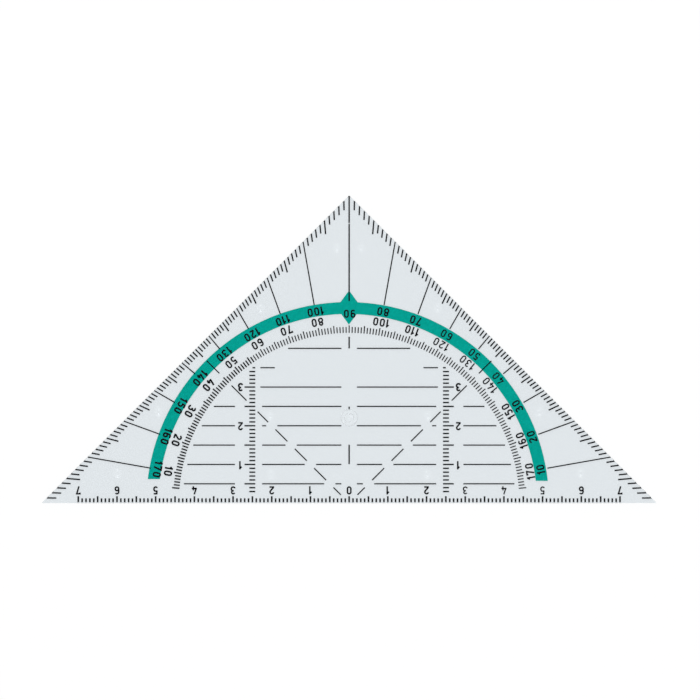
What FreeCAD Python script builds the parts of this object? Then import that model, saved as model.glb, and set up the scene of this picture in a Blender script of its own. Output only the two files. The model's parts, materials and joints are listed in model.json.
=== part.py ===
import FreeCAD, Part
import math
import os

# A 16 cm geometry set square: one clear moulded plate with a ruling edge, two legs at
# 45 degrees and a protractor. Its scales are thin films of black and green ink on the
# underside, read through the plate. Small nubs hold that side clear of the paper.
#
# Millimetres and degrees. X runs along the ruling edge, Y towards the right-angled
# corner and Z up. The origin is the zero mark of the ruling edge, in the desk's plane.
# Angles are counted from +X. The plate and its scales are the same left and right.

UP = FreeCAD.Vector(0, 0, 1)
ZERO = FreeCAD.Vector(0, 0, 0)
SIDES = (-1, 1)

# The plate
half_edge = 79.55           # zero mark to each end of the ruling edge, corners sharp
plate_thickness = 2.0
corner_radius = 0.16
top_round = 0.12            # the rounding along the top edges
under_round = 0.1           # the rounding along the underside's edges

# The nubs under it, low domes with a flat tip, as (x, y) of the right half
nub_places = [(3.15, 65.95), (22.9, 50.4), (49.2, 23.6), (20.35, 22.6), (59.85, 7.75), (20.1, 7.45)]
nub_height = 0.3
nub_base_radius = 1.2
nub_tip_radius = 0.3

# The sunk moulding mark under the middle, with the stub of the gate in it
gate_y = 22.1
gate_recess_radius = 2.13
gate_recess_depth = 0.3
gate_stub_radius = 1.2
gate_stub_height = 0.15
gate_draft = 0.06           # how far the recess and the stub narrow from foot to top

# Ink
ink_thickness = 0.03
ink_gap = 0.005             # between the film and the plate, so that the two faces don't coincide
ruler_line = 0.44
tick_line = 0.38
fine_line = 0.32

# The ruler
ruler_reach = 70            # millimetres read to each side of zero
ruler_margin = 0.38         # from the ruling edge to the ticks
ruler_tick = 0.87
ruler_long_tick = 1.42      # at every 5 mm

# The angle scale along the legs, with depths measured square to the leg
leg_margin = 0.3            # from a leg's edge to the ticks and the rays
leg_tick = 1.5
leg_long_tick = 2.5         # at every 5 degrees
ray_foot_radius = 52.0      # where the 10-degree rays stop, at the band's rim

# The green band, and the green diamond that the perpendicular points into
band_inner_radius = 48.95
band_outer_radius = 52.05
band_foot_y = 6.05          # the band ends level at this height
diamond_tip_y = 55.05
diamond_foot_y = 46.2
diamond_half_width = 3.25
diamond_x = 0.1             # the diamond stands a little right of the band's middle
diagonal_mark = (47.4, 52)
green_shift = (-0.37, -0.07)    # the green print lies a little off the black one
green_turn = -0.26              # and is turned against it, in degrees

# The protractor's ticks, inside the band
protractor_first = 5        # degrees, and as many short of 180
protractor_foot = 44.0
protractor_tick = 1.55
protractor_long_tick = 1.95

# The ruled field inside the protractor
field_radius = 43.0
row_pitch = 5.0
row_count = 8
row_start = 2.0             # clear of the perpendicular
row_crossing_gap = 1.45     # to each side of a diagonal
crossed_rows = 5            # the diagonals are broken at these rows and run on unbroken above them
diagonal_start = 2.15
diagonal_crossing_gap = 0.95
perpendicular_dashes = [(10.1, 15.1), (24.25, 24.95), (40.0, 43.0)]
perpendicular_foot = 52.2
perpendicular_break = (72.2, 72.4)
bare_place = (31.0, 39.3)   # no perpendicular and no row shorter than this between
bare_place_half_width = 19.2

# The two height scales that stand in the field
height_scale_x = 24.25
height_first = 3
height_last = 35
height_tick = 1.55
height_long_tick = 2.8
height_scale_clear = (22.5, 29.5)   # x range kept free of rows for the scale and its numbers
high_row_end = 22.95        # the rows above the diagonals run a little nearer to the scale
height_scale_diagonal_gap = (23.65, 26.5)

underside = nub_height
ink_floor = underside - ink_gap - ink_thickness
leg_tilt = math.sqrt(2)


def polar(radius, angle):
    turn = math.radians(angle)
    return radius * math.cos(turn), radius * math.sin(turn)


def mark(start, end, width):
    # A straight ink mark between two (x, y) points, against the underside.
    run_x, run_y = end[0] - start[0], end[1] - start[1]
    bar = Part.makeBox(math.hypot(run_x, run_y), width, ink_thickness,
                       FreeCAD.Vector(0, -width / 2, 0))
    bar.rotate(ZERO, UP, math.degrees(math.atan2(run_y, run_x)))
    bar.translate(FreeCAD.Vector(start[0], start[1], ink_floor))
    return bar


def radial(angle, inner, outer, width):
    return mark(polar(inner, angle), polar(outer, angle), width)


def leg_distance(angle, depth):
    # How far from the zero mark a ray is still this deep inside the leg it runs to.
    across, along = polar(1, angle)
    return (half_edge - depth * leg_tilt) / (abs(across) + along)


def stretches(start, stop, gaps):
    # What is left of start to stop between the gaps, as (low, high) pairs.
    left = []
    for low, high in sorted(gaps) + [(stop, stop)]:
        low = min(low, stop)
        if low > start:
            left.append((start, low))
        start = max(start, high)
    return left


def field_reach(y):
    return math.sqrt(field_radius ** 2 - y ** 2)


def save(name, solids):
    shape = solids[0] if len(solids) == 1 else Part.makeCompound(solids)
    shape.exportStep("parts/" + name + ".step")
    print(name, len(shape.Solids), "solids", round(shape.Volume, 3), "mm3", shape.isValid())


def level_edges(solid, height):
    return [edge for edge in solid.Edges
            if all(abs(vertex.Z - height) < 1e-6 for vertex in edge.Vertexes)]


def make_nub(x, y):
    # A cap of the ball that runs through the rim of the flat tip and the rim of the base.
    middle_z = (nub_base_radius ** 2 + nub_height ** 2 - nub_tip_radius ** 2) / (2 * nub_height)
    ball = Part.makeSphere(math.hypot(nub_tip_radius, middle_z), FreeCAD.Vector(x, y, middle_z))
    span = 3 * nub_base_radius
    return ball.common(Part.makeBox(span, span, nub_height, FreeCAD.Vector(x - span / 2, y - span / 2, 0)))


def make_gate_mark():
    # What the moulding mark takes out of the underside: a recess round the drafted stub.
    foot = FreeCAD.Vector(0, gate_y, underside)
    recess = Part.makeCone(gate_recess_radius, gate_recess_radius - gate_draft, gate_recess_depth, foot)
    stub_tip = foot + UP * (gate_recess_depth - gate_stub_height)
    stub = Part.makeCone(gate_stub_radius - gate_draft, gate_stub_radius, gate_stub_height, stub_tip)
    return recess.cut(stub)


def make_plate():
    corners = [(-half_edge, 0), (half_edge, 0), (0, half_edge), (-half_edge, 0)]
    outline = Part.makePolygon([FreeCAD.Vector(x, y, underside) for x, y in corners])
    plate = Part.Face(outline).extrude(UP * plate_thickness)
    upright = [edge for edge in plate.Edges
               if edge.tangentAt(edge.FirstParameter).cross(UP).Length < 1e-6]
    plate = plate.makeFillet(corner_radius, upright)
    plate = plate.makeFillet(top_round, level_edges(plate, underside + plate_thickness))
    plate = plate.makeFillet(under_round, level_edges(plate, underside))

    nubs = [make_nub(side * x, y) for x, y in nub_places for side in SIDES]
    return plate.cut(make_gate_mark()).fuse(nubs).removeSplitter()


def make_ruler():
    ticks = []
    for millimetre in range(-ruler_reach, ruler_reach + 1):
        length = ruler_long_tick if millimetre % 5 == 0 else ruler_tick
        ticks.append(mark((millimetre, ruler_margin), (millimetre, ruler_margin + length), ruler_line))
    return ticks


def make_leg_ticks(first, last):
    # The degrees between two angles along one leg. Every tenth is a ray instead.
    ticks = []
    for angle in range(first, last + 1):
        if angle % 10 == 0:
            continue
        length = leg_long_tick if angle % 5 == 0 else leg_tick
        foot = leg_distance(angle, leg_margin + length)
        ticks.append(radial(angle, foot, leg_distance(angle, leg_margin), tick_line))
    return ticks


def make_rays():
    return [radial(angle, ray_foot_radius, leg_distance(angle, leg_margin), fine_line)
            for angle in range(10, 180, 10) if angle != 90]


def make_protractor():
    ticks = []
    for angle in range(protractor_first, 181 - protractor_first):
        length = protractor_long_tick if angle % 5 == 0 else protractor_tick
        ticks.append(radial(angle, protractor_foot, protractor_foot + length, tick_line))
    return ticks


def make_perpendicular():
    dashes = perpendicular_dashes + stretches(perpendicular_foot, leg_distance(90, leg_margin),
                                              [perpendicular_break])
    return [mark((0, low), (0, high), tick_line) for low, high in dashes]


def make_rows():
    # Lines parallel to the ruling edge. They stop short of the diagonals, of the height
    # scales and of the bare place, and end at the rim of the field.
    rows = []
    for count in range(1, row_count + 1):
        y = count * row_pitch
        scale_start, scale_stop = height_scale_clear
        if y > scale_stop:
            scale_start = high_row_end
        gaps = [(y - row_crossing_gap, y + row_crossing_gap), (scale_start, scale_stop)]
        if bare_place[0] < y < bare_place[1]:
            gaps.append((row_start, bare_place_half_width))
        for low, high in stretches(row_start, field_reach(y), gaps):
            rows += [mark((side * low, y), (side * high, y), fine_line) for side in SIDES]
    return rows


def make_diagonals():
    # The two 45-degree lines, broken where they cross a row, with a mark over the band.
    crossings = [count * row_pitch for count in range(1, crossed_rows + 1)]
    gaps = [(at - diagonal_crossing_gap, at + diagonal_crossing_gap) for at in crossings]
    gaps.append(height_scale_diagonal_gap)
    lines = []
    for side in SIDES:
        for low, high in stretches(diagonal_start, field_radius / leg_tilt, gaps):
            lines.append(mark((side * low, low), (side * high, high), fine_line))
        lines.append(radial(90 - side * 45, *diagonal_mark, fine_line))
    return lines


def make_height_scale(side):
    ticks = []
    for y in range(height_first, height_last + 1):
        length = height_long_tick if y % 5 == 0 else height_tick
        end = min(height_scale_x + length, field_reach(y))
        ticks.append(mark((side * height_scale_x, y), (side * end, y), tick_line))
    return ticks


def make_band(black):
    # The ring and the diamond in one film, with the black marks that cross it left out.
    ring = Part.makeCylinder(band_outer_radius, ink_thickness)
    ring = ring.cut(Part.makeCylinder(band_inner_radius, ink_thickness))
    span = 2 * band_outer_radius + 10
    above = Part.makeBox(span, span, ink_thickness, FreeCAD.Vector(-span / 2, band_foot_y, 0))
    middle_y = (diamond_tip_y + diamond_foot_y) / 2
    points = [(0, diamond_tip_y), (-diamond_half_width, middle_y),
              (0, diamond_foot_y), (diamond_half_width, middle_y), (0, diamond_tip_y)]
    outline = Part.makePolygon([FreeCAD.Vector(diamond_x + x, y, 0) for x, y in points])
    diamond = Part.Face(outline).extrude(UP * ink_thickness)
    band = ring.common(above).fuse(diamond).removeSplitter()
    band.rotate(ZERO, UP, green_turn)
    band.translate(FreeCAD.Vector(*green_shift, ink_floor))
    return band.cut(black).Solids


os.makedirs("parts", exist_ok=True)

rays = make_rays()
perpendicular = make_perpendicular()
diagonals = make_diagonals()

save("clear_plate", [make_plate()])
save("ruler_graduation", make_ruler())
save("right_leg_degrees", make_leg_ticks(1, 89))
save("left_leg_degrees", make_leg_ticks(91, 179))
save("ten_degree_rays", rays)
save("protractor_ticks", make_protractor())
save("perpendicular_line", perpendicular)
save("parallel_lines", make_rows())
save("diagonal_lines", diagonals)
save("right_height_scale", make_height_scale(1))
save("left_height_scale", make_height_scale(-1))
save("green_angle_band", make_band(rays + perpendicular + diagonals))
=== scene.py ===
import bmesh
import bpy
import json
import math
from mathutils import Matrix, Vector


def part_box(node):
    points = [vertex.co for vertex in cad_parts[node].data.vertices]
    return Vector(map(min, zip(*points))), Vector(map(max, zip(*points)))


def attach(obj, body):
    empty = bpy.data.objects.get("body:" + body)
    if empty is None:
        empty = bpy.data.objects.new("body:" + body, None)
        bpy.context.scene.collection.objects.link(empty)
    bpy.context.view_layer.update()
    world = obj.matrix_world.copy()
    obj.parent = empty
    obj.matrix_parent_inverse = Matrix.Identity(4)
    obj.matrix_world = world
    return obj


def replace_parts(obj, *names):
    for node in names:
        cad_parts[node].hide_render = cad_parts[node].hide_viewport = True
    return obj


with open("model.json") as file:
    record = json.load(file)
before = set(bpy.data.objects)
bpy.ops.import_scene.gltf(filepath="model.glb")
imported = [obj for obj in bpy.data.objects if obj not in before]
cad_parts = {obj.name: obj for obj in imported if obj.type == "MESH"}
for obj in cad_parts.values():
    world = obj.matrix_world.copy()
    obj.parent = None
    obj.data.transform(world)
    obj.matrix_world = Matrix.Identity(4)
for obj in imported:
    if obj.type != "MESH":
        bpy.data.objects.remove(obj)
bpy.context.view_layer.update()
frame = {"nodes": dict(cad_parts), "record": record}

mm = 0.001
degree = math.pi / 180
nodes = frame["nodes"]
print("frame loaded:", len(nodes), "nodes")


def intoMesh(name, bm):
    mesh = bpy.data.meshes.new(name)
    bm.to_mesh(mesh)
    bm.free()
    return mesh


def addObject(name, data):
    added = bpy.data.objects.new(name, data)
    bpy.context.scene.collection.objects.link(added)
    return added


def newMaterial(name):
    material = bpy.data.materials.new(name)
    material.use_nodes = True
    material.node_tree.nodes.clear()
    return material, material.node_tree


def addNode(tree, kind, values={}):
    node = tree.nodes.new(kind)
    for name, value in values.items():
        node.inputs[name].default_value = value
    return node


def addMath(tree, operation, *values):
    node = addNode(tree, "ShaderNodeMath")
    node.operation = operation
    for socket, value in zip(node.inputs, values):
        if isinstance(value, (int, float)):
            socket.default_value = value
        else:
            tree.links.new(value, socket)
    return node.outputs[0]


def addRange(tree, value, fromMin, fromMax, toMin, toMax):
    node = addNode(tree, "ShaderNodeMapRange", {"From Min": fromMin, "From Max": fromMax,
                                                "To Min": toMin, "To Max": toMax})
    tree.links.new(value, node.inputs["Value"])
    return node.outputs["Result"]


def addNoise(tree, size, detail=1.0):
    # size is the width of one blotch, in metres
    where = addNode(tree, "ShaderNodeTexCoord")
    noise = addNode(tree, "ShaderNodeTexNoise", {"Scale": 1 / size, "Detail": detail})
    tree.links.new(where.outputs["Object"], noise.inputs["Vector"])
    return noise.outputs["Fac"]


def addBump(tree, height):
    # height is in metres
    bump = addNode(tree, "ShaderNodeBump", {"Distance": 1.0})
    tree.links.new(height, bump.inputs["Height"])
    return bump.outputs["Normal"]


def finishMaterial(tree, shader):
    output = addNode(tree, "ShaderNodeOutputMaterial")
    tree.links.new(shader, output.inputs["Surface"])


# the clear moulded plate
clearPlastic = {
    "tint": (0.821, 0.8645, 0.8925, 1),
    "shadowTint": (0.95, 0.965, 0.975, 1),
    "ior": 1.49,
    "polish": 0.015,            # roughness of the two large faces
    "edgeRoughness": 0.6,       # the edges are dull from the mould
    "edgeSlope": (0.8, 0.98),   # up to the first a normal's Z means an edge, from the second a flat
    "gateRoughness": 0.06,
    "gateCentre": (0, 22.1 * mm, 0),
    "gateReach": 2.25 * mm,
    "swimSize": 14 * mm,        # the slow waviness of a moulded face
    "swimDepth": 0.004 * mm,
    "grainSize": 0.6 * mm,      # the torn grain in the moulding mark
    "grainDepth": 0.52 * mm,
}


def makeClearPlastic(look):
    material, tree = newMaterial("clearPlastic")
    plastic = addNode(tree, "ShaderNodeBsdfPrincipled", {"Base Color": look["tint"], "IOR": look["ior"],
                                                         "Transmission Weight": 1.0})
    where = addNode(tree, "ShaderNodeTexCoord")

    # 1 on the upright edges, 0 on the flat faces and between on the rounded ones
    facing = addNode(tree, "ShaderNodeSeparateXYZ")
    tree.links.new(where.outputs["Normal"], facing.inputs[0])
    upright = addRange(tree, addMath(tree, "ABSOLUTE", facing.outputs["Z"]), *look["edgeSlope"], 1.0, 0.0)

    # 1 inside the sunk moulding mark
    apart = addNode(tree, "ShaderNodeVectorMath")
    apart.operation = "DISTANCE"
    apart.inputs[1].default_value = look["gateCentre"]
    tree.links.new(where.outputs["Object"], apart.inputs[0])
    atGate = addMath(tree, "LESS_THAN", apart.outputs["Value"], look["gateReach"])

    edgePart = addMath(tree, "MULTIPLY", upright, look["edgeRoughness"] - look["polish"])
    gatePart = addMath(tree, "MULTIPLY", atGate, look["gateRoughness"] - look["polish"])
    rough = addMath(tree, "ADD", addMath(tree, "MAXIMUM", edgePart, gatePart), look["polish"])
    tree.links.new(rough, plastic.inputs["Roughness"])

    swim = addMath(tree, "MULTIPLY", addNoise(tree, look["swimSize"]), look["swimDepth"])
    grain = addMath(tree, "MULTIPLY", addNoise(tree, look["grainSize"]), look["grainDepth"])
    grain = addMath(tree, "MULTIPLY", grain, atGate)
    tree.links.new(addBump(tree, addMath(tree, "ADD", swim, grain)), plastic.inputs["Normal"])

    # lamps and the room shine straight through onto the ink and the desk
    letThrough = addNode(tree, "ShaderNodeBsdfTransparent", {"Color": look["shadowTint"]})
    path = addNode(tree, "ShaderNodeLightPath")
    shader = plastic.outputs[0]
    for ray in ("Is Shadow Ray", "Is Diffuse Ray"):
        mix = addNode(tree, "ShaderNodeMixShader")
        tree.links.new(path.outputs[ray], mix.inputs[0])
        tree.links.new(shader, mix.inputs[1])
        tree.links.new(letThrough.outputs[0], mix.inputs[2])
        shader = mix.outputs[0]
    finishMaterial(tree, shader)
    return material


# the two screen-print inks
blackInk = {
    "name": "blackInk",
    "color": (0.004, 0.004, 0.005),
    "thin": (0.012, 0.012, 0.014),
    "roughness": 0.42,
}
greenInk = {
    "name": "greenInk",
    "color": (0.0, 0.445, 0.343),
    "thin": (0.001, 0.495, 0.392),
    "roughness": 0.38,
}
inkPrint = {
    "gloss": 0.06,                      # against the plastic it hardly mirrors anything
    "blotchSize": 1.2 * mm,
    "blotchRange": (0.35, 0.75),        # the noise that stands for the full ink and the thin ink
    "roughnessRange": (0.3, 0.7),
    "roughnessSpread": 0.05,
    "threadSize": 0.09 * mm,            # the weave of the screen
    "threadDepth": 0.004 * mm,
}


def makeInk(ink, look):
    material, tree = newMaterial(ink["name"])
    film = addNode(tree, "ShaderNodeBsdfPrincipled", {"Specular IOR Level": look["gloss"]})
    # the ink lies a little thicker in some places than in others
    mix = addNode(tree, "ShaderNodeMix")
    mix.data_type = "RGBA"
    mix.inputs["A"].default_value = (*ink["color"], 1)
    mix.inputs["B"].default_value = (*ink["thin"], 1)
    blotch = addNoise(tree, look["blotchSize"], 3.0)
    tree.links.new(addRange(tree, blotch, *look["blotchRange"], 0.0, 1.0), mix.inputs["Factor"])
    tree.links.new(mix.outputs["Result"], film.inputs["Base Color"])
    smoothest = ink["roughness"] - look["roughnessSpread"]
    roughest = ink["roughness"] + look["roughnessSpread"]
    tree.links.new(addRange(tree, blotch, *look["roughnessRange"], smoothest, roughest),
                   film.inputs["Roughness"])
    threads = addMath(tree, "MULTIPLY", addNoise(tree, look["threadSize"]), look["threadDepth"])
    tree.links.new(addBump(tree, threads), film.inputs["Normal"])
    finishMaterial(tree, film.outputs[0])
    return material


plasticMaterial = makeClearPlastic(clearPlastic)
blackMaterial = makeInk(blackInk, inkPrint)
greenMaterial = makeInk(greenInk, inkPrint)

slotMaterials = {"clear_plastic": plasticMaterial, "black_ink": blackMaterial, "green_ink": greenMaterial}
for subpart in frame["record"]["subparts"]:
    for slot in nodes[subpart["node"]].material_slots:
        slot.material = slotMaterials[subpart["material_slot"]]
print("materials on the moulded plate and its inks")


# the black film that is added here, beside the film nodes
inkFilm = {
    "thickness": 0.02 * mm,
    "lift": 0.003 * mm,     # above the top of the film nodes, so that no two faces coincide
}
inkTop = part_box("green_angle_band")[1].z + inkFilm["lift"]


def inkPiece(name, bm):
    # the film rides on the plate
    mesh = intoMesh(name, bm)
    mesh.materials.append(blackMaterial)
    piece = addObject(name, mesh)
    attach(piece, "root")
    print(name, len(mesh.polygons), "faces")
    return piece


def addStretch(bm, line, start, end, width):
    # a short block of ink on a line that runs from its own origin along +X
    thickness = inkFilm["thickness"]
    place = (line @ Matrix.Translation(((start + end) / 2, 0, inkTop - thickness / 2))
             @ Matrix.Diagonal((end - start, width, thickness, 1)))
    bmesh.ops.create_cube(bm, size=1, matrix=place)


# A digit stands on a field one unit high. The pen starts at (x, y) with a heading, then runs
# straight for a length or turns through an arc of a radius. Left turns are positive.
numerals = {
    "height": 2.15 * mm,
    "pens": {"normal": 0.19, "heavy": 0.215, "light": 0.16},    # line widths, as the print is uneven
    "space": 0.2,
    "arcStep": 18,
    "join": 0.001,          # within a stroke, on the field
    "weld": 0.003 * mm,     # of the slivers that the fusing leaves
}
half = numerals["pens"]["normal"] / 2
bowl = 0.3 - half               # the round of a digit 0.6 wide
smallBowl = 0.225 - half / 2    # the upper and the lower round of 3 and 8
largeBowl = 0.275 - half / 2


def onBowl(centre, radius, heading):
    # the start of a right-hand turn about a centre
    lean = heading * degree
    return centre[0] - radius * math.sin(lean), centre[1] + radius * math.cos(lean), heading


sixStrokes = [
    (half, 0.3, 90, [("run", 0.4), ("turn", bowl, -148)]),
    (half, 0.33, 90, [("turn", bowl, -180), ("run", 0.03), ("turn", bowl, -180), ("run", 0.03)]),
]
digits = {
    "0": {"width": 0.6, "strokes": [
        (half, 0.3, 90, [("run", 0.4), ("turn", bowl, -180), ("run", 0.4), ("turn", bowl, -180)])]},
    "1": {"width": 0.34, "strokes": [
        (0.34 - half, 0, 90, [("run", 1)]),
        (0.035, 0.665, 45, [("run", 0.36)])]},
    "2": {"width": 0.6, "strokes": [
        (*onBowl((0.3, 0.7), bowl, 82), [("turn", bowl, -212), ("run", 0.57)]),
        (0.02, half, 0, [("run", 0.56)])]},
    "3": {"width": 0.6, "strokes": [
        (*onBowl((0.29, 0.55 + smallBowl), smallBowl, 70), [("turn", smallBowl, -250), ("run", 0.07)]),
        (0.22, 0.55, 0, [("run", 0.07), ("turn", largeBowl, -252)])]},
    "4": {"width": 0.62, "strokes": [
        (0.327, 0.975, -108.9, [("run", 0.745)]),
        (0, 0.27, 0, [("run", 0.62)]),
        (0.43, 0, 90, [("run", 0.5)])]},
    "5": {"width": 0.6, "strokes": [
        (half, 1 - half, 0, [("run", 0.45)]),
        (half + 0.075, 0.95, -93.6, [("run", 0.43)]),
        (*onBowl((0.3, 0.39), bowl, 52), [("turn", bowl, -142), ("run", 0.09), ("turn", bowl, -156)])]},
    "6": {"width": 0.6, "strokes": sixStrokes},
    "7": {"width": 0.6, "strokes": [
        (0, 1 - half, 0, [("run", 0.585)]),
        (half, 0.95, -90, [("run", 0.19)]),
        (0.5, 0.95, -106.6, [("run", 0.98)])]},
    "8": {"width": 0.6, "strokes": [
        (0.3 - smallBowl, 0.55 + smallBowl, 90, [("turn", smallBowl, -360)]),
        (0.3 - largeBowl, 0.55 - largeBowl, 90, [("turn", largeBowl, -360)])]},
    "9": {"width": 0.6, "strokes": sixStrokes, "upsideDown": True},
}


def drawStroke(bm, stroke, width, look):
    # a flat strip, as a broad nib leaves it
    x, y, heading, moves = stroke
    spot = Vector((x, y, 0))
    along = Matrix.Rotation(heading * degree, 3, "Z") @ Vector((1, 0, 0))
    aside = along.cross((0, 0, -1))
    ends = [bm.verts.new(spot + aside * width / 2), bm.verts.new(spot - aside * width / 2)]
    nib = bm.edges.new(ends)
    for move in moves:
        if move[0] == "run":
            made = bmesh.ops.extrude_edge_only(bm, edges=[nib])["geom"]
            ends = [g for g in made if isinstance(g, bmesh.types.BMVert)]
            bmesh.ops.translate(bm, verts=ends, vec=along * move[1])
            spot += along * move[1]
        else:
            radius, angle = move[1], move[2]
            hub = spot + aside * math.copysign(radius, angle)
            steps = max(2, round(abs(angle) / look["arcStep"]))
            made = bmesh.ops.spin(bm, geom=[*ends, nib], cent=hub, axis=(0, 0, 1), angle=angle * degree,
                                  steps=steps)["geom_last"]
            ends = [g for g in made if isinstance(g, bmesh.types.BMVert)]
            turn = Matrix.Rotation(angle * degree, 3, "Z")
            spot = hub + turn @ (spot - hub)
            along = turn @ along
            aside = turn @ aside
        nib = bm.edges.get(ends)


def raiseFilm(name, bm):
    # from its foot to a closed film
    raised = bmesh.ops.extrude_face_region(bm, geom=bm.faces[:], use_keep_orig=True)["geom"]
    raised = [g for g in raised if isinstance(g, bmesh.types.BMVert)]
    bmesh.ops.translate(bm, verts=raised, vec=(0, 0, inkFilm["thickness"]))
    bmesh.ops.recalc_face_normals(bm, faces=bm.faces)
    return intoMesh(name, bm)


def makeStroke(stroke, digit, width, look):
    # the strip with its ends joined where they meet, as a film of its own
    bm = bmesh.new()
    drawStroke(bm, stroke, width, look)
    bmesh.ops.remove_doubles(bm, verts=bm.verts, dist=look["join"])
    if digit.get("upsideDown"):
        middle = Vector((digit["width"] / 2, 0.5, 0))
        bmesh.ops.rotate(bm, verts=bm.verts, cent=middle, matrix=Matrix.Rotation(math.pi, 3, "Z"))
    bmesh.ops.scale(bm, verts=bm.verts, vec=(look["height"],) * 3)
    return addObject("stroke", raiseFilm("stroke", bm))


setOrder = Vector((1, 83, 6151))     # corners are sorted along this, where no two share a place


def makeDigit(digit, width, look):
    # the strokes of one digit, fused into one film
    pieces = [makeStroke(stroke, digit, width, look) for stroke in digit["strokes"]]
    for other in pieces[1:]:
        fuse = pieces[0].modifiers.new("fuse", "BOOLEAN")
        fuse.operation = "UNION"
        fuse.solver = "EXACT"
        fuse.object = other
    bpy.context.view_layer.update()
    fused = pieces[0].evaluated_get(bpy.context.evaluated_depsgraph_get())
    mesh = bpy.data.meshes.new_from_object(fused)
    bm = bmesh.new()
    bm.from_mesh(mesh)
    for piece in pieces:
        bpy.data.objects.remove(piece)
    # the fusing leaves its faces in no set order, so that the foot's outline is filled afresh
    bm.verts.sort(key=lambda vert: vert.co.dot(setOrder))
    bmesh.ops.remove_doubles(bm, verts=bm.verts, dist=look["weld"])
    bm.normal_update()
    bmesh.ops.delete(bm, geom=[face for face in bm.faces if face.normal.z > -0.5], context="FACES")
    inner = [edge for edge in bm.edges if not edge.is_boundary]
    bmesh.ops.delete(bm, geom=bm.faces[:], context="FACES_ONLY")
    bmesh.ops.delete(bm, geom=inner, context="EDGES")
    bmesh.ops.delete(bm, geom=[vert for vert in bm.verts if not vert.link_edges], context="VERTS")
    bm.edges.sort(key=lambda edge: sum(vert.co.dot(setOrder) for vert in edge.verts))
    bmesh.ops.triangle_fill(bm, use_beauty=True, edges=bm.edges[:])
    return raiseFilm("digit", bm)


digitMeshes = {(name, pen): makeDigit(digit, width, numerals)
               for name, digit in digits.items() for pen, width in numerals["pens"].items()}
print("digits drawn:", len(digitMeshes))


def numberWidth(text, look):
    return (sum(digits[c]["width"] for c in text) + look["space"] * (len(text) - 1)) * look["height"]


def writeNumber(bm, text, centre, turn, pen, look):
    # centre is the middle of the number and turn its reading direction, from +X
    across = -numberWidth(text, look) / 2
    place = Matrix.Translation(centre) @ Matrix.Rotation(turn, 4, "Z")
    for c in text:
        known = len(bm.verts)
        bm.from_mesh(digitMeshes[c, pen])
        bm.verts.ensure_lookup_table()
        step = Matrix.Translation((across, -look["height"] / 2, 0))
        bmesh.ops.transform(bm, matrix=place @ step, verts=bm.verts[known:])
        across += (digits[c]["width"] + look["space"]) * look["height"]


def numberPiece(name, entries, look):
    # entries are (text, x, y, turn, pen)
    bm = bmesh.new()
    for text, x, y, turn, pen in entries:
        writeNumber(bm, text, (x, y, inkTop - inkFilm["thickness"]), turn, pen, look)
    inkPiece(name, bm)


numberPlaces = {
    "rulerLast": 7,
    "rulerLight": (3, 4, 5),    # the light ones right of the zero
    "rulerY": 3.3 * mm,
    "heightPens": {1: "normal", 2: "normal", 3: "heavy"},
    "heightX": 28.15 * mm,
    "heightShift": 0.08 * mm,   # the height numbers stand this far right of their mirrored places
    "heightStep": 10.1 * mm,
    "heightFoot": -0.31 * mm,   # one step below the number 1
    "innerRadius": 47.44 * mm,
    "bandRadius": 50.24 * mm,
    "rightAngle": (0.15 * mm, 48.94 * mm),
    "lag": 0.08,                # degrees that the degree numbers stand clockwise of their rays
    "heavyTo": -33 * mm,        # the degree numbers left of this are heavy
    "light": (23 * mm, 40 * mm),    # and those between these are light
}


def onRay(text, angle, radius, places):
    turn = (angle - places["lag"]) * degree
    x = radius * math.cos(turn)
    pen = "normal"
    if x < places["heavyTo"]:
        pen = "heavy"
    elif places["light"][0] < x < places["light"][1]:
        pen = "light"
    return text, x, radius * math.sin(turn), turn + math.pi / 2, pen


def makeNumbers(places, look):
    ruler = [(str(abs(cm)), cm * 10 * mm, places["rulerY"], math.pi,
              "light" if cm in places["rulerLight"] else "normal")
             for cm in range(-places["rulerLast"], places["rulerLast"] + 1)]
    numberPiece("ruler_numbers", ruler, look)
    heights = [(str(cm), side * places["heightX"] + places["heightShift"],
                cm * places["heightStep"] + places["heightFoot"], math.pi, pen)
               for cm, pen in places["heightPens"].items() for side in (-1, 1)]
    numberPiece("height_numbers", heights, look)
    tens = [angle for angle in range(10, 180, 10) if angle != 90]
    inner = [onRay(str(180 - angle), angle, places["innerRadius"], places) for angle in tens]
    numberPiece("inner_degree_numbers", inner, look)
    band = [onRay(str(angle), angle, places["bandRadius"], places) for angle in tens]
    numberPiece("band_degree_numbers", band + [("90", *places["rightAngle"], math.pi, "normal")], look)


makeNumbers(numberPlaces, numerals)


# the outermost stretch of the ticks and the rays, from the film nodes' marks towards the edges
tickTips = {
    "legMargin": 0.1 * mm,      # from a leg's edge to the end of the ink
    "legDepth": 0.36 * mm,      # from a leg's edge to inside the mark that the tip carries on
    "legWidth": 0.37 * mm,      # a hair less than the mark's, so that no sides coincide
    "rayWidth": 0.31 * mm,      # at every tenth degree
    "rulerReach": 70,           # millimetres to each side of zero
    "rulerMargin": 0.24 * mm,
    "rulerDepth": 0.44 * mm,
    "rulerWidth": 0.43 * mm,
}


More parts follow.
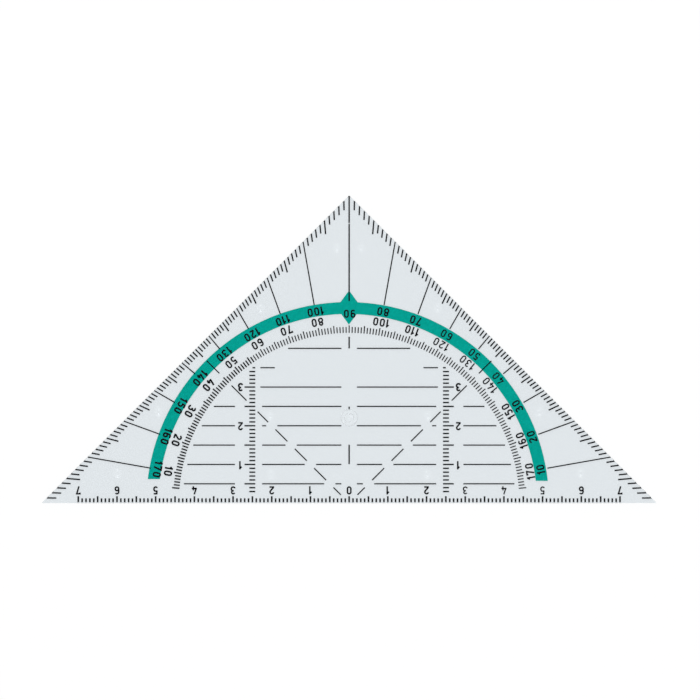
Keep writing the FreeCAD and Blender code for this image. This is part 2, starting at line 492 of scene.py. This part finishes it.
def makeTickTips(look):
    onLeg = next(mount["pos_m"] for mount in frame["record"]["mounts"] if mount["name"] == "right_leg")
    reach = onLeg[0] + onLeg[1]     # from the zero mark to a leg, along the ruling edge
    slant = math.sqrt(2)            # from a depth square to a leg to one along the ruling edge
    bm = bmesh.new()
    for angle in range(1, 180):
        spread = abs(math.cos(angle * degree)) + math.sin(angle * degree)
        start = (reach - look["legDepth"] * slant) / spread
        width = look["rayWidth"] if angle % 10 == 0 and angle != 90 else look["legWidth"]
        addStretch(bm, Matrix.Rotation(angle * degree, 4, "Z"), start, reach / spread + width, width)
    for side in (-1, 1):
        # the ink stops along a line beside each leg
        bmesh.ops.bisect_plane(bm, geom=bm.verts[:] + bm.edges[:] + bm.faces[:],
                               plane_co=(0, reach - look["legMargin"] * slant, 0),
                               plane_no=(side, 1, 0), clear_outer=True)
        bmesh.ops.holes_fill(bm, edges=[edge for edge in bm.edges if edge.is_boundary])
    upwards = Matrix.Rotation(90 * degree, 4, "Z")
    for millimetre in range(-look["rulerReach"], look["rulerReach"] + 1):
        line = Matrix.Translation((millimetre * mm, 0, 0)) @ upwards
        addStretch(bm, line, look["rulerMargin"], look["rulerDepth"], look["rulerWidth"])
    bmesh.ops.recalc_face_normals(bm, faces=bm.faces)
    inkPiece("tick_tips", bm)


makeTickTips(tickTips)


# the protractor's ticks, which took less ink than the other scales, apart from the left end
protractor = {
    "first": 5,                 # degrees, and as many short of 180
    "length": 1.55 * mm,
    "longLength": 1.95 * mm,    # at every 5 degrees
    "width": 0.30 * mm,
    "heavyWidth": 0.38 * mm,    # as the film node's
    "heavyFrom": 124,           # degrees
}


def makeProtractor(look):
    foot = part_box("protractor_ticks")[1].y - look["longLength"]
    bm = bmesh.new()
    for angle in range(look["first"], 181 - look["first"]):
        length = look["longLength"] if angle % 5 == 0 else look["length"]
        width = look["heavyWidth"] if angle >= look["heavyFrom"] else look["width"]
        addStretch(bm, Matrix.Rotation(angle * degree, 4, "Z"), foot, foot + length, width)
    bmesh.ops.recalc_face_normals(bm, faces=bm.faces)
    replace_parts(inkPiece("protractor_marks", bm), "protractor_ticks")


makeProtractor(protractor)


# the desk, the light and the camera
desk = {
    "size": 6.0,
    "paper": 0.2,
    "glow": 0.81,
    "dip": 0.02 * mm,       # below the nubs' tips, so that the two faces don't coincide
}
studio = {
    "sky": 0.91,            # the room's light from the sides
    "zenith": 0.01,         # the dark overhead, which the flat plate mirrors to a viewer above it
    "zenithFade": (0.8, 0.97),      # from the first height the sky darkens, at the second it is dark
    "keySize": 0.65, "keyPower": 4.3, "keyPlace": (0, 0.95, 0.78),
    "fillSize": 0.6, "fillPower": 2.25, "fillPlace": (0, -0.95, 0.78),
}
view = {
    "fieldWidth": 180.9 * mm,       # across the picture
    "centre": (0.22 * mm, 39.58 * mm),
    "height": 0.6,
}


def seenDirectly(tree):
    # 1 for rays that show a background: from the eye, from a mirror and through the plastic
    path = addNode(tree, "ShaderNodeLightPath")
    either = addMath(tree, "MAXIMUM", path.outputs["Is Camera Ray"], path.outputs["Is Glossy Ray"])
    return addMath(tree, "MAXIMUM", either, path.outputs["Is Transmission Ray"])


def makeDesk(look):
    bm = bmesh.new()
    bmesh.ops.create_grid(bm, x_segments=1, y_segments=1, size=look["size"] / 2)
    bmesh.ops.translate(bm, verts=bm.verts, vec=(0, 0, -look["dip"]))
    mesh = intoMesh("desk", bm)
    addObject("desk", mesh)
    material, tree = newMaterial("whitePaper")
    paper = addNode(tree, "ShaderNodeBsdfDiffuse", {"Color": (look["paper"],) * 3 + (1,)})
    glow = addNode(tree, "ShaderNodeEmission", {"Color": (1, 1, 1, 1)})
    tree.links.new(addMath(tree, "MULTIPLY", seenDirectly(tree), look["glow"]), glow.inputs["Strength"])
    both = addNode(tree, "ShaderNodeAddShader")
    tree.links.new(paper.outputs[0], both.inputs[0])
    tree.links.new(glow.outputs[0], both.inputs[1])
    finishMaterial(tree, both.outputs[0])
    mesh.materials.append(material)


def makeStudio(look):
    world = bpy.data.worlds.new("studio")
    bpy.context.scene.world = world
    world.use_nodes = True
    tree = world.node_tree
    tree.nodes.clear()
    where = addNode(tree, "ShaderNodeTexCoord")
    up = addNode(tree, "ShaderNodeSeparateXYZ")
    tree.links.new(where.outputs["Generated"], up.inputs[0])
    strength = addRange(tree, up.outputs["Z"], *look["zenithFade"], look["sky"], look["zenith"])
    # white where it is seen past the plate or through it, but not mirrored in it
    path = addNode(tree, "ShaderNodeLightPath")
    unmirrored = addMath(tree, "LESS_THAN", path.outputs["Glossy Depth"], 0.5)
    through = addMath(tree, "MULTIPLY", path.outputs["Is Transmission Ray"], unmirrored)
    white = addMath(tree, "MAXIMUM", path.outputs["Is Camera Ray"], through)
    strength = addMath(tree, "MAXIMUM", strength, white)
    background = addNode(tree, "ShaderNodeBackground", {"Color": (1, 1, 1, 1)})
    tree.links.new(strength, background.inputs["Strength"])
    output = addNode(tree, "ShaderNodeOutputWorld")
    tree.links.new(background.outputs[0], output.inputs["Surface"])
    for name in ("key", "fill"):
        lamp = bpy.data.lights.new(name, "AREA")
        lamp.size = look[name + "Size"]
        lamp.energy = look[name + "Power"]
        holder = addObject(name, lamp)
        holder.location = look[name + "Place"]
        holder.rotation_euler = (-holder.location).to_track_quat("-Z", "Y").to_euler()


def makeCamera(look):
    data = bpy.data.cameras.new("camera")
    data.type = "ORTHO"
    data.ortho_scale = look["fieldWidth"]
    holder = addObject("camera", data)
    holder.location = (*look["centre"], look["height"])
    bpy.context.scene.camera = holder


makeDesk(desk)
makeStudio(studio)
makeCamera(view)
bpy.context.scene.view_settings.view_transform = "Standard"
print("desk, lamps and camera placed")
